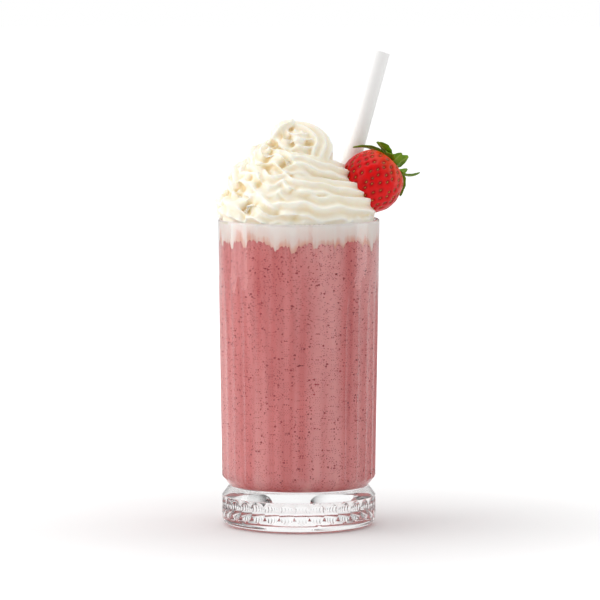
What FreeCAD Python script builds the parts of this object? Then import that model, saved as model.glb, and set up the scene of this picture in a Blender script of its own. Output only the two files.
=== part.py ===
"""Strawberry milkshake in a fluted highball glass, with a piped whipped cream swirl, a strawberry and a straw.

Millimetres, +Z up. The origin is the centre of the glass's underside, on the table; -Y is the front.
Every driving size is a cell of the "Sizes" spreadsheet, and each piece is one solid, written to parts/.
"""

import FreeCAD
import Part
import Sketcher
import math
import os

Vector = FreeCAD.Vector
UP = Vector(0, 0, 1)

# (alias, value in mm, degrees or a plain count, what it is)
SIZES = (
    ("glass_height", 133.5, "rim above the table"),
    ("rim_radius", 35.0, "outer radius at the rim"),
    ("rim_wall", 2.0, "wall at the rim"),
    ("rim_round", 0.9, "rounding of the lip's two edges"),
    ("body_draw", 1.6, "how much narrower the fluted body is at its lower end than at the rim"),
    ("body_start", 21.8, "height where the fluted body starts"),
    ("body_round", 0.5, "rounding of the body's lower corner"),
    ("neck_inset", 3.2, "depth of the groove between body and foot ring"),
    ("neck_height", 17.8, "height of that groove"),
    ("neck_round", 0.7, "rounding in the groove"),
    ("ring_height", 13.4, "height of the foot ring's shoulder"),
    ("ring_round", 0.4, "rounding of that shoulder"),
    ("foot_round", 4.0, "rounding of the foot ring's lower edge"),
    ("hollow_inset", 9.4, "distance of the hollow under the foot from the ring's outside"),
    ("hollow_depth", 0.8, "depth of that hollow"),
    ("hollow_bevel", 3.0, "width of the hollow's sloping edge"),
    ("floor_height", 17.6, "height of the floor inside"),
    ("floor_wall", 4.2, "wall at the floor inside"),
    ("floor_round", 9.0, "rounding between floor and wall inside"),
    ("flute_count", 32, "flutes round the body, and olive cuts round the foot ring"),
    ("flute_radius", 8.0, "radius of the wheel that cuts a flute"),
    ("cut_overlap", 0.1, "how far neighbouring cuts reach into each other, so that they meet in sharp edges"),
    ("flute_top", 49.5, "distance below the rim where the flutes start to run out"),
    ("flute_end", 19.5, "distance below the rim where the cutting wheel has left the glass"),
    ("flute_exit", 0.3, "clearance of the wheel from the glass at that height"),
    ("olive_depth", 1.1, "depth of an olive cut in its middle"),
    ("olive_height", 9.2, "height of an olive cut"),
    ("glass_turn", -3.4, "turn of the cut pattern about the glass's axis, degrees"),
    ("fill_gap", 0.12, "clearance between neighbouring pieces"),
    ("drink_drop", 10.5, "mean distance of the line between drink and cream below the rim"),
    ("drip_height", 2.4, "how far that line waves up and down"),
    ("swirl_foot", 4.0, "height of the cream rope's centre above the rim in its first turn"),
    ("swirl_rise", 33.5, "rise of the rope's centre from there to its end"),
    ("swirl_inset", 10.0, "distance of the first turn's centre inside the rim's outer edge"),
    ("swirl_end_radius", 2.0, "radius of the swirl at the rope's end"),
    ("swirl_turns", 3.3, "turns of the rope"),
    ("swirl_curve", 1.3, "how late the swirl narrows: 1 is a cone, more is a dome"),
    ("swirl_lean", 2.0, "how far the swirl's middle leans towards -X"),
    ("swirl_back", 1.2, "how far the swirl stands towards +Y, so that its front stays inside the rim"),
    ("swirl_tilt", 7.0, "tilt of the turns halfway up the swirl, down towards +X, degrees"),
    ("rope_radius", 10.2, "radius of the rope in its first turn"),
    ("rope_end_radius", 6.4, "radius of the rope at its end"),
    ("ridge_count", 11, "ridges that the star nozzle leaves round the rope"),
    ("ridge_depth", 0.2, "depth of the grooves between ridges, as a share of the rope's radius"),
    ("ridge_twist", 0.4, "turns of the ridges about the rope for each turn of the swirl"),
    ("ruffle_count", 11, "ruffles of the ridges in one turn of the swirl"),
    ("ruffle_side", 0.25, "size of the ruffles towards +X, as a share of those towards -X"),
    ("ruffle_size", 1.3, "size of the ruffles, as radians of turn about the rope"),
    ("peak_height", 5.9, "height of the pulled peak above the rope's end"),
    ("peak_radius", 4.6, "radius of the peak's foot"),
    ("peak_tip", 0.8, "radius of the peak's tip"),
    ("peak_lean", 2.0, "how far the peak's tip leans towards -X"),
    ("straw_radius", 4.05, "outer radius of the straw"),
    ("straw_wall", 0.3, "wall of the straw"),
    ("straw_length", 193.48, "length of the straw"),
    ("straw_foot_x", -14.92, "middle of the straw's lower end"),
    ("straw_foot_y", 6.8, "middle of the straw's lower end"),
    ("straw_lean", 16.35, "lean of the straw from upright, degrees"),
    ("straw_heading", 21.2, "direction that the straw leans to, from +X towards +Y, degrees"),
    ("berry_radius", 14.7, "largest radius of the strawberry"),
    ("berry_length", 33.0, "length of the strawberry from tip to cap"),
    ("berry_tip", 3.6, "radius of the tip before it is rounded"),
    ("berry_tip_round", 3.2, "rounding of the tip"),
    ("berry_side_round", 13.0, "rounding of the widest part"),
    ("berry_cap", 0.72, "radius of the cap end, as a share of the largest radius"),
    ("berry_cap_round", 7.0, "rounding of the cap end"),
    ("berry_wide", 0.62, "where the strawberry is widest, as a share of its length"),
    ("berry_reach", 4.0, "how far the middle of the cap end stands outside the rim"),
    ("berry_side", 10.5, "how far that point stands towards +Y"),
    ("berry_cap_rise", 22.7, "height of that point above the rim"),
    ("berry_rise", 38.7, "rise of the strawberry's axis above level, towards its cap, degrees"),
    ("berry_heading", 30.8, "direction that its cap end faces, from +X towards +Y, degrees"),
    ("leaf_turn", 41.2, "turn of the leaves about the strawberry's axis, degrees"),
    ("leaf_width", 5.2, "largest width of a mean leaf"),
    ("leaf_thickness", 0.7, "thickness of a leaf"),
    ("leaf_disc", 4.2, "radius of the disc that the leaves grow from"),
    ("stem_radius", 1.2, "radius of the stem's stub"),
    ("stem_length", 3.2, "length of the stem's stub"),
)

# Leaves of the strawberry's cap: direction about its axis (degrees), how far the tip reaches from that axis,
# how high the tip stands above the cap end, and width as a share of the mean.
LEAVES = (
    (0, 16.2, -2.8, 0.85),
    (16, 11.0, 8.4, 0.80),
    (52, 12.5, -0.5, 1.05),
    (92, 13.0, 1.5, 1.15),
    (132, 16.8, -4.8, 0.60),
    (158, 11.0, 2.6, 0.90),
    (182, 12.4, 1.2, 1.15),
    (208, 9.0, 0.4, 0.80),
    (240, 5.4, 6.2, 0.80),
    (285, 4.4, 8.4, 1.20),
    (330, 12.0, 8.4, 0.65),
)

# The fold in which the rope ends, laid over the top: across, towards the back, height above the rim, radius.
FOLD = (
    (-5.6, 2.0, 33.0, 8.2),
    (-1.6, 0.6, 34.8, 8.4),
    (3.8, -1.4, 33.2, 8.8),
    (6.6, -3.2, 28.6, 8.6),
)

COLUMNS = 64  # facets round the cream
ROWS = 50  # facets from the rim to the cream's top
WALL_ROWS = 3  # facets down the cream inside the rim
BED_RINGS = 3  # facets from the wall to the middle of the cream's underside
TRACE_STEPS = 60  # steps of the search for the cream's surface along one ray
TRACE_SHARE = 0.6  # share of the free distance that one step takes
RAY_START = 1.6  # start of a search, as a share of the rim's radius
RAY_RISE = 0.72  # height that the last search starts from, as a share of the swirl's rise
RAY_CURVE = 1.3  # how slowly the searches turn upright: 1 is evenly
RUFFLE_SWELL = 0.04  # how much a ruffle swells the rope, as a share of its radius
BOW_START = 0.15  # part of the swirl's bow towards -X that is already below the rim, as a share of a half turn
PEAK_CURVE = 0.7  # how fast the peak narrows: 1 is a cone
LEAF_RIBS = 7  # ribs that a leaf is lofted through

doc = FreeCAD.newDocument("strawberry_milkshake")
sheet = doc.addObject("Spreadsheet::Sheet", "Sizes")
driving = {}  # the sheet's values by alias


def fill_sheet():
    """Writes the driving sizes into the spreadsheet, one row each, with the alias on the value's cell."""
    for row, (alias, value, note) in enumerate(SIZES, start=1):
        sheet.set(f"A{row}", alias)
        sheet.set(f"B{row}", str(value))
        sheet.setAlias(f"B{row}", alias)
        sheet.set(f"C{row}", note)
    doc.recompute()
    for alias, value, note in SIZES:
        driving[alias] = float(getattr(sheet, alias))


def size(alias):
    """The value of one driving size."""
    return driving[alias]


def cell(alias):
    """The name of one driving size in an expression."""
    return f"Sizes.{alias}"


# ---------------------------------------------------------------- sketches


def new_body(label):
    body = doc.addObject("PartDesign::Body", label)
    body.Label = label
    return body


def new_sketch(body, name, role="XZ_Plane"):
    """A sketch on one of the body's own origin planes."""
    plane = next(f for f in body.Origin.OriginFeatures if f.Role == role)
    sketch = body.newObject("Sketcher::SketchObject", name)
    sketch.AttachmentSupport = [(plane, "")]
    sketch.MapMode = "FlatFace"
    return sketch


def bind(sketch, constraint, expression):
    """Adds a dimension to the sketch and binds its value to an expression on the sheet."""
    index = sketch.addConstraint(constraint)
    sketch.setExpression(f"Constraints[{index}]", expression)


def pin_point(sketch, geometry, end, x, y):
    """Fixes a point of the sketch at (x, y), two expressions, where "0" puts it on that axis."""
    axis_y, axis_x, origin = -2, -1, (-1, 1)
    if x == "0":
        sketch.addConstraint(Sketcher.Constraint("PointOnObject", geometry, end, axis_y))
    else:
        value = float(sketch.evalExpression(x))
        bind(sketch, Sketcher.Constraint("DistanceX", *origin, geometry, end, value), x)
    if y == "0":
        sketch.addConstraint(Sketcher.Constraint("PointOnObject", geometry, end, axis_x))
    else:
        value = float(sketch.evalExpression(y))
        bind(sketch, Sketcher.Constraint("DistanceY", *origin, geometry, end, value), y)


def draw_outline(sketch, points):
    """A closed outline of straight lines through points, each a pair of expressions."""
    at = [Vector(float(sketch.evalExpression(x)), float(sketch.evalExpression(y)), 0) for x, y in points]
    count = len(points)
    for i in range(count):
        sketch.addGeometry(Part.LineSegment(at[i], at[(i + 1) % count]), False)
    for i in range(count):
        sketch.addConstraint(Sketcher.Constraint("Coincident", i, 2, (i + 1) % count, 1))
    for i, (x, y) in enumerate(points):
        pin_point(sketch, i, 1, x, y)


def revolve(body, sketch, name):
    feature = body.newObject("PartDesign::Revolution", name)
    feature.Profile = sketch
    feature.ReferenceAxis = (sketch, ["V_Axis"])
    feature.Angle = 360
    sketch.Visibility = False
    doc.recompute()
    return feature


def round_corner(body, name, radius, corners):
    """Rounds the circular edges of the body's tip that run through corners, each (radius, height)."""
    base = body.Tip
    edges = []
    for i, edge in enumerate(base.Shape.Edges, start=1):
        if not isinstance(edge.Curve, Part.Circle):
            continue
        for corner_radius, corner_height in corners:
            near = abs(edge.Curve.Radius - corner_radius) < 1e-3
            if near and abs(edge.Curve.Center.z - corner_height) < 1e-3:
                edges.append(f"Edge{i}")
    fillet = body.newObject("PartDesign::Fillet", name)
    fillet.Base = (base, edges)
    fillet.setExpression("Radius", cell(radius))
    doc.recompute()
    return fillet


def repeat_round(body, name, feature):
    """Repeats a cut round the glass, once for each flute."""
    pattern = body.newObject("PartDesign::PolarPattern", name)
    pattern.Originals = [feature]
    axis = next(f for f in body.Origin.OriginFeatures if f.Role == "Z_Axis")
    pattern.Axis = (axis, [""])
    pattern.Angle = 360
    pattern.setExpression("Occurrences", cell("flute_count"))
    body.Tip = pattern
    doc.recompute()
    return pattern


# ---------------------------------------------------------------- glass


BODY_RADIUS = f"({cell('rim_radius')} - {cell('body_draw')})"
NECK_RADIUS = f"({BODY_RADIUS} - {cell('neck_inset')})"
RIM_INSIDE = f"({cell('rim_radius')} - {cell('rim_wall')})"
FLOOR_RADIUS = f"({BODY_RADIUS} - {cell('floor_wall')})"


def body_radius_at(height):
    """Expression for the outer radius of the tapered body at a height, itself an expression."""
    rise = f"({height} - {cell('body_start')}) / ({cell('glass_height')} - {cell('body_start')})"
    return f"({BODY_RADIUS} + {cell('body_draw')} * {rise})"


def half_width():
    """Expression for half the width of a cut, a little more than half the distance to the next one."""
    return f"(pi * {BODY_RADIUS} / {cell('flute_count')} + {cell('cut_overlap')} / 2)"


def below_rim(alias):
    """Expression for the height of a point that is stated as a distance below the rim."""
    return f"({cell('glass_height')} - {cell(alias)})"


def make_glass():
    body = new_body("glass")
    outline = new_sketch(body, "glass_outline")
    draw_outline(
        outline,
        (
            ("0", cell("hollow_depth")),
            (f"{BODY_RADIUS} - {cell('hollow_inset')} - {cell('hollow_bevel')}", cell("hollow_depth")),
            (f"{BODY_RADIUS} - {cell('hollow_inset')}", "0"),
            (BODY_RADIUS, "0"),
            (BODY_RADIUS, cell("ring_height")),
            (NECK_RADIUS, cell("neck_height")),
            (BODY_RADIUS, cell("body_start")),
            (cell("rim_radius"), cell("glass_height")),
            (RIM_INSIDE, cell("glass_height")),
            (FLOOR_RADIUS, cell("floor_height")),
            ("0", cell("floor_height")),
        ),
    )
    revolve(body, outline, "glass_blank")
    body_radius, neck_radius, rim_inside, floor_radius = glass_radii()
    top = size("glass_height")
    round_corner(body, "foot_rounding", "foot_round", [(body_radius, 0.0)])
    round_corner(body, "floor_rounding", "floor_round", [(floor_radius, size("floor_height"))])
    round_corner(body, "lip_rounding", "rim_round", [(size("rim_radius"), top), (rim_inside, top)])
    round_corner(body, "ring_rounding", "ring_round", [(body_radius, size("ring_height"))])
    round_corner(body, "neck_rounding", "neck_round", [(neck_radius, size("neck_height"))])
    round_corner(body, "body_rounding", "body_round", [(body_radius, size("body_start"))])
    cut_flutes(body)
    cut_olives(body)
    body.Placement = FreeCAD.Placement(Vector(), FreeCAD.Rotation(UP, size("glass_turn")))
    return body


def glass_radii():
    """Radii of the body's lower end, the groove, the rim's inside and the floor."""
    body_radius = size("rim_radius") - size("body_draw")
    neck_radius = body_radius - size("neck_inset")
    rim_inside = size("rim_radius") - size("rim_wall")
    floor_radius = body_radius - size("floor_wall")
    return body_radius, neck_radius, rim_inside, floor_radius


def cut_flutes(body):
    """Hollow flutes down the body. The wheel keeps its depth to flute_top and then leaves in a long arc."""
    wide = half_width()
    wheel_reach = (
        f"(sqrt({BODY_RADIUS}^2 - {wide}^2) + sqrt({cell('flute_radius')}^2 - {wide}^2) - {BODY_RADIUS})"
    )
    start_x = f"{body_radius_at(cell('neck_height'))} + {wheel_reach}"
    bend_x = f"{body_radius_at(below_rim('flute_top'))} + {wheel_reach}"
    end_x = f"{body_radius_at(below_rim('flute_end'))} + {cell('flute_radius')} + {cell('flute_exit')}"
    xs = (start_x, bend_x, end_x)
    zs = (cell("neck_height"), below_rim("flute_top"), below_rim("flute_end"))

    path = new_sketch(body, "flute_path")
    foot, bend, end = (
        Vector(float(path.evalExpression(x)), float(path.evalExpression(z)), 0) for x, z in zip(xs, zs)
    )
    path.addGeometry(Part.LineSegment(foot, bend), False)
    path.addGeometry(tangent_arc(foot, bend, end), False)
    path.addConstraint(Sketcher.Constraint("Tangent", 0, 2, 1, 2))
    pin_point(path, 0, 1, xs[0], zs[0])
    pin_point(path, 0, 2, xs[1], zs[1])
    pin_point(path, 1, 1, xs[2], zs[2])

    wheel = new_sketch(body, "flute_wheel", "XY_Plane")
    wheel.setExpression("AttachmentOffset.Base.z", cell("neck_height"))
    wheel.addGeometry(Part.Circle(Vector(foot.x, 0, 0), UP, size("flute_radius")), False)
    pin_point(wheel, 0, 3, start_x, "0")
    bind(wheel, Sketcher.Constraint("Radius", 0, size("flute_radius")), cell("flute_radius"))
    doc.recompute()

    flute = body.newObject("PartDesign::SubtractivePipe", "flute")
    flute.Profile = wheel
    flute.Spine = (path, ["Edge1", "Edge2"])
    doc.recompute()
    repeat_round(body, "flutes", flute)


def tangent_arc(before, start, end):
    """The arc that leaves start in the direction it was reached from before, and ends at end."""
    along = (start - before).normalize()
    across = Vector(along.y, -along.x, 0)
    chord = end - start
    radius = chord.dot(chord) / (2 * chord.dot(across))
    circle = Part.Circle(start + across * radius, UP, abs(radius))
    return Part.ArcOfCircle(circle, circle.parameter(end), circle.parameter(start))


def cut_olives(body):
    """Olive cuts round the foot ring, each under the land between two flutes: a lens turned about an upright
    axis outside the ring takes a hollow oval out of it."""
    wide = half_width()
    bite = f"({cell('olive_depth')} - {BODY_RADIUS} + sqrt({BODY_RADIUS}^2 - {wide}^2))"
    lens_radius = f"(({wide}^2 + {bite}^2) / (2 * {bite}))"
    axis_x = f"({BODY_RADIUS} - {cell('olive_depth')} + {lens_radius})"
    arc_radius = f"((({cell('olive_height')} / 2)^2 + {cell('olive_depth')}^2) / (2 * {cell('olive_depth')}))"

    sketch = new_sketch(body, "olive_lens")
    turn = f"180 deg / {cell('flute_count')}"
    half_turn = 180.0 / size("flute_count")
    sketch.AttachmentOffset = FreeCAD.Placement(Vector(), FreeCAD.Rotation(Vector(0, 1, 0), half_turn))
    sketch.setExpression("AttachmentOffset.Rotation.Angle", turn)
    sketch.setExpression("AttachmentOffset.Base.x", f"{axis_x} * cos({turn})")
    sketch.setExpression("AttachmentOffset.Base.y", f"({cell('foot_round')} + {cell('ring_height')}) / 2")
    sketch.setExpression("AttachmentOffset.Base.z", f"-{axis_x} * sin({turn})")

    lens = float(sketch.evalExpression(lens_radius))
    arc = float(sketch.evalExpression(arc_radius))
    half_height = math.sqrt(arc**2 - (arc - lens) ** 2)
    low, high = Vector(0, -half_height, 0), Vector(0, half_height, 0)
    sketch.addGeometry(Part.Arc(high, Vector(-lens, 0, 0), low), False)
    sketch.addGeometry(Part.LineSegment(low, high), False)
    sketch.addConstraint(Sketcher.Constraint("Coincident", 0, 1, 1, 2))
    sketch.addConstraint(Sketcher.Constraint("Coincident", 0, 2, 1, 1))
    sketch.addConstraint(Sketcher.Constraint("PointOnObject", 0, 1, -2))
    sketch.addConstraint(Sketcher.Constraint("PointOnObject", 0, 2, -2))
    sketch.addConstraint(Sketcher.Constraint("PointOnObject", 0, 3, -1))
    bind(sketch, Sketcher.Constraint("Radius", 0, arc), arc_radius)
    centre_x = f"{arc_radius} - {lens_radius}"
    bind(sketch, Sketcher.Constraint("DistanceX", -1, 1, 0, 3, arc - lens), centre_x)
    doc.recompute()

    olive = body.newObject("PartDesign::Groove", "olive")
    olive.Profile = sketch
    olive.ReferenceAxis = (sketch, ["V_Axis"])
    olive.Angle = 360
    doc.recompute()
    repeat_round(body, "olives", olive)


# ---------------------------------------------------------------- straw


def lean_placement(item, x, y, z, heading, lean):
    """Binds an object's Placement: its +Z leans from upright towards a heading, its origin is at (x, y, z)."""
    toward = math.radians(float(item.evalExpression(heading)))
    across = Vector(-math.sin(toward), math.cos(toward), 0)
    angle = float(item.evalExpression(lean))
    item.Placement = FreeCAD.Placement(Vector(), FreeCAD.Rotation(across, angle))
    item.setExpression("Placement.Base.x", x)
    item.setExpression("Placement.Base.y", y)
    item.setExpression("Placement.Base.z", z)
    item.setExpression("Placement.Rotation.Axis.x", f"-sin({heading} * 1 deg)")
    item.setExpression("Placement.Rotation.Axis.y", f"cos({heading} * 1 deg)")
    item.setExpression("Placement.Rotation.Angle", f"{lean} * 1 deg")


def straw_cylinder(name, radius):
    """A cylinder of the straw's length, standing where the straw stands."""
    cylinder = doc.addObject("Part::Cylinder", name)
    cylinder.setExpression("Radius", radius)
    cylinder.setExpression("Height", cell("straw_length"))
    foot = f"{cell('floor_height')} + {cell('straw_radius')} * sin({cell('straw_lean')} * 1 deg)"
    foot_z = f"{foot} + 2 * {cell('fill_gap')}"
    foot_x, foot_y = cell("straw_foot_x"), cell("straw_foot_y")
    lean_placement(cylinder, foot_x, foot_y, foot_z, cell("straw_heading"), cell("straw_lean"))
    return cylinder


def make_straw():
    """The straw, a plain tube that stands on the glass's floor, and the space it takes in drink and cream."""
    outside = straw_cylinder("straw_outside", cell("straw_radius"))
    bore = straw_cylinder("straw_bore", f"{cell('straw_radius')} - {cell('straw_wall')}")
    straw = cut("straw", outside, bore)
    space = straw_cylinder("straw_space", f"{cell('straw_radius')} + {cell('fill_gap')}")
    doc.recompute()
    return straw, space


def cut(name, base, tool):
    """A named boolean cut of two objects of the document."""
    result = doc.addObject("Part::Cut", name)
    result.Label = name
    result.Base = base
    result.Tool = tool
    return result


# ---------------------------------------------------------------- strawberry


def berry_place(item):
    """Places an object whose origin is the middle of the strawberry's cap end and whose +Z leaves through it."""
    x = f"{cell('rim_radius')} + {cell('berry_reach')}"
    z = f"{cell('glass_height')} + {cell('berry_cap_rise')}"
    lean_placement(item, x, cell("berry_side"), z, cell("berry_heading"), f"(90 - {cell('berry_rise')})")


def make_berry(label, spare):
    """The strawberry, turned about its axis from tip to cap, with spare added all round it."""
    body = new_body(label)
    sketch = new_sketch(body, f"{label}_outline")
    wide = f"({cell('berry_radius')} + {spare})"
    cap = f"({cell('berry_radius')} * {cell('berry_cap')} + {spare})"
    tip = f"({cell('berry_tip')} + {spare})"
    low = f"(-{cell('berry_length')} - {spare})"
    widest = f"(({cell('berry_wide')} - 1) * {cell('berry_length')})"
    draw_outline(sketch, (("0", low), (tip, low), (wide, widest), (cap, spare), ("0", spare)))
    revolve(body, sketch, f"{label}_blank")
    value = {name: float(sketch.evalExpression(name)) for name in (wide, cap, tip, low, widest, spare)}
    round_corner(body, f"{label}_side", "berry_side_round", [(value[wide], value[widest])])
    round_corner(body, f"{label}_cap", "berry_cap_round", [(value[cap], value[spare])])
    round_corner(body, f"{label}_tip", "berry_tip_round", [(value[tip], value[low])])
    berry_place(body)
    doc.recompute()
    return body


def leaf_shape(direction, reach, rise, share):
    """One pointed leaf, lofted through lens-shaped ribs along a spine that arches over the cap end."""
    root = Vector(size("stem_radius"), 0, size("leaf_thickness") * 0.6)
    tip = Vector(reach, 0, rise)
    arch = Vector(reach * 0.6, 0, size("leaf_thickness") + 0.22 * reach)
    if rise > 0.4 * reach:
        arch = Vector(reach * 0.9, 0, size("leaf_thickness"))
    ribs = []
    for step in range(LEAF_RIBS):
        u = step / (LEAF_RIBS - 1)
        middle = root * (1 - u) ** 2 + arch * (2 * u * (1 - u)) + tip * u**2
        along = ((arch - root) * (1 - u) + (tip - arch) * u).normalize()
        out = Vector(-along.z, 0, along.x)
        half = size("leaf_width") * share * (0.10 + 0.40 * math.sin(math.pi * min(1.0, 0.12 + 0.9 * u)) ** 0.8)
        thick = size("leaf_thickness") * (1 - 0.45 * u)
        cup = 0.25 * half
        left = middle + Vector(0, -half, 0) + out * cup
        right = middle + Vector(0, half, 0) + out * cup
        top = Part.Arc(left, middle + out * (thick / 2), right).toShape()
        bottom = Part.Arc(right, middle - out * (thick / 2), left).toShape()
        ribs.append(Part.Wire([top, bottom]))
    leaf = Part.makeLoft(ribs, True, False)
    leaf.rotate(Vector(), UP, direction + size("leaf_turn"))
    return leaf


def make_leaves():
    """The cap: a disc, the stem's stub and the leaves, grown together."""
    disc = Part.makeCylinder(size("leaf_disc"), size("leaf_thickness"))
    stem = Part.makeCylinder(size("stem_radius"), size("leaf_thickness") + size("stem_length"))
    leaves = [leaf_shape(*leaf) for leaf in LEAVES]
    cap = disc.multiFuse([stem] + leaves).removeSplitter()
    cap.translate(UP * size("fill_gap"))
    feature = doc.addObject("Part::Feature", "strawberry_leaves")
    feature.Label = "strawberry_leaves"
    feature.Shape = cap
    berry_place(feature)
    doc.recompute()
    return feature


# ---------------------------------------------------------------- drink and cream


def cavity_radius(height):
    """Inner radius of the glass at a height."""
    body_radius, neck_radius, rim_inside, floor_radius = glass_radii()
    share = (height - size("floor_height")) / (size("glass_height") - size("floor_height"))
    return floor_radius + (rim_inside - floor_radius) * share


def bed_height(angle, share):
    """Height of the line between drink and cream, wavy at the wall (share 1) and level in the middle (0)."""
    wave = 0.5 * math.sin(5 * angle + 0.4) + 0.3 * math.sin(9 * angle + 2.1) + 0.2 * math.sin(17 * angle)
    return size("glass_height") - size("drink_drop") + size("drip_height") * wave * share**2


def rope_at(turn):
    """Some turns up the rope: the turn, radius of the swirl, height above the rim and radius of the rope."""
    share = min(max(turn / size("swirl_turns"), 0.0), 1.0)
    foot_radius = size("rim_radius") - size("swirl_inset")
    swirl = foot_radius + (size("swirl_end_radius") - foot_radius) * share ** size("swirl_curve")
    tilt = math.tan(math.radians(size("swirl_tilt"))) * math.sin(math.pi * share)
    height = size("swirl_foot") + size("swirl_rise") * share + tilt * swirl * math.cos(2 * math.pi * turn)
    rope = size("rope_radius") + (size("rope_end_radius") - size("rope_radius")) * share
    return turn, swirl, height, rope


def star(phase, radius):
    """How far the nozzle's star pattern cuts in at a phase of its turn: sharp ridges, round grooves."""
    return radius * size("ridge_depth") * abs(math.sin(0.5 * phase))


def rope_distance(angle, radius, height, turns):
    """Distance, roughly, from a point to the rope's turns, with their ridges and ruffles."""
    nearest = math.inf
    plain = size("ruffle_side")
    side = plain + (1 - plain) * (0.5 - 0.5 * math.cos(angle))
    for turn, swirl, rope_height, rope in turns:
        across, rise = radius - swirl, height - rope_height
        around = math.atan2(rise, across)
        ruffle = size("ruffle_size") * side * swirl / size("rim_radius")
        wave = math.sin(size("ruffle_count") * angle + 2.4 * turn + 1.3 * around)
        phase = size("ridge_count") * (around - 2 * math.pi * size("ridge_twist") * turn) + 2 * ruffle * wave
        swell = rope * (1 + RUFFLE_SWELL * ruffle * wave)
        nearest = min(nearest, math.hypot(across, rise) - swell + star(phase, rope))
    return nearest


def fold_distance(point):
    """Distance, roughly, from a point to the fold at the top: a ridged rope through the rows of FOLD."""
    nearest = math.inf
    for first, second in zip(FOLD, FOLD[1:]):
        start, end = Vector(*first[:3]), Vector(*second[:3])
        along = end - start
        share = min(max((point - start).dot(along) / along.dot(along), 0.0), 1.0)
        away = point - start - along * share
        back = Vector(0, 1, 0)
        phase = size("ridge_count") * math.atan2(away.dot(along.cross(back).normalize()), away.dot(back))
        rope = first[3] + (second[3] - first[3]) * share
        nearest = min(nearest, away.Length - rope + star(phase, rope))
    return nearest


def peak_distance(radius, height):
    """Distance, roughly, to the cone under the turns and to the pulled peak."""
    rise, foot_radius = size("swirl_rise"), size("rim_radius")
    core = (radius * rise + (height - rise) * foot_radius) / math.hypot(rise, foot_radius)
    foot = size("swirl_foot") + rise
    climb = min(max((height - foot) / size("peak_height"), 0.0), 1.0)
    peak = size("peak_radius") + (size("peak_tip") - size("peak_radius")) * climb**PEAK_CURVE
    beyond = height - foot - size("peak_height") * climb
    return min(core, math.hypot(radius, beyond) - peak)


def cream_lean(height):
    """How far the cream's middle stands towards -X at a height above the rim."""
    foot = size("swirl_foot") + size("swirl_rise")
    climbed = BOW_START + (1 - BOW_START) * min(max(height / foot, 0.0), 1.0)
    bow = size("swirl_lean") * math.sin(math.pi * climbed)
    return bow + size("peak_lean") * min(max((height - foot) / size("peak_height"), 0.0), 1.0)


def cream_place(angle, radius, height):
    """The point at an angle and radius about the cream's leaning middle, at a height above the rim."""
    x = radius * math.cos(angle) - cream_lean(height)
    return Vector(x, radius * math.sin(angle) + size("swirl_back"), height)


def cream_point(angle, share):
    """A point of the cream's outside: where a ray from the middle, level at share 0 and upright at 1, leaves it."""
    first = int(math.floor(-0.5 + angle / (2 * math.pi)))
    turns = []
    for lap in range(first, int(size("swirl_turns")) + 2):
        turn = lap + 0.5 - angle / (2 * math.pi)
        if -1 <= turn <= size("swirl_turns"):
            turns.append(rope_at(turn))
    tilt = 0.5 * math.pi * share**RAY_CURVE
    start = size("fill_gap") + RAY_RISE * size("swirl_rise") * share
    travel = RAY_START * size("rim_radius")
    for _ in range(TRACE_STEPS):
        radius, height = travel * math.cos(tilt), start + travel * math.sin(tilt)
        free = min(rope_distance(angle, radius, height, turns), peak_distance(radius, height))
        free = min(free, fold_distance(cream_place(angle, radius, height)))
        travel -= TRACE_SHARE * max(free, 0.0)
    radius, height = travel * math.cos(tilt), start + travel * math.sin(tilt)
    return cream_place(angle, radius, height) + UP * size("glass_height")


def ring(radius, height):
    """A ring of points round the axis, where radius and height are functions of the angle."""
    points = []
    for column in range(COLUMNS):
        angle = -math.pi + 2 * math.pi * column / COLUMNS
        r = radius(angle)
        points.append(Vector(r * math.cos(angle), r * math.sin(angle), height(angle)))
    return points


def closed_solid(rings, low, high):
    """A solid of triangles through rings of points, closed by a point below the first and one above the last."""
    points = [low] + [point for points_of_ring in rings for point in points_of_ring] + [high]
    faces = []
    last = len(points) - 1
    for column in range(COLUMNS):
        after = (column + 1) % COLUMNS
        faces.append((0, 1 + after, 1 + column))
        for row in range(len(rings) - 1):
            a, b = 1 + row * COLUMNS + column, 1 + row * COLUMNS + after
            c, d = b + COLUMNS, a + COLUMNS
            faces += [(a, b, c), (a, c, d)]
        top = 1 + (len(rings) - 1) * COLUMNS
        faces.append((top + column, top + after, last))
    shell = Part.Shape()
    shell.makeShapeFromMesh((points, faces), 1e-4)
    solid = Part.makeSolid(shell)
    if solid.Volume < 0:
        solid.reverse()
    return solid


def bed_rings(drop):
    """Rings of the surface between drink and cream, from the middle out to the wall."""
    rings = []
    for number in range(1, BED_RINGS + 1):
        share = number / BED_RINGS
        rings.append(
            ring(
                lambda angle: share * (cavity_radius(bed_height(angle, share)) - size("fill_gap")),
                lambda angle: bed_height(angle, share) - drop,
            )
        )
    return rings


def make_cream_blank():
    """The cream before the straw and the strawberry take their room: bed, wall inside the glass, and swirl."""
    top = size("glass_height")
    gap = size("fill_gap")
    rings = bed_rings(0.0)
    for number in range(1, WALL_ROWS + 1):
        share = number / WALL_ROWS
        height = lambda angle: bed_height(angle, 1.0) + (top + gap - bed_height(angle, 1.0)) * share
        rings.append(ring(lambda angle: cavity_radius(min(height(angle), top)) - gap, height))
    angles = [-math.pi + 2 * math.pi * column / COLUMNS for column in range(COLUMNS)]
    for row in range(ROWS):
        rings.append([cream_point(angle, row / ROWS) for angle in angles])
    low = Vector(0, 0, bed_height(0.0, 0.0))
    feature = doc.addObject("Part::Feature", "cream_blank")
    feature.Shape = closed_solid(rings, low, cream_point(0.0, 1.0))
    return feature


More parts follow.
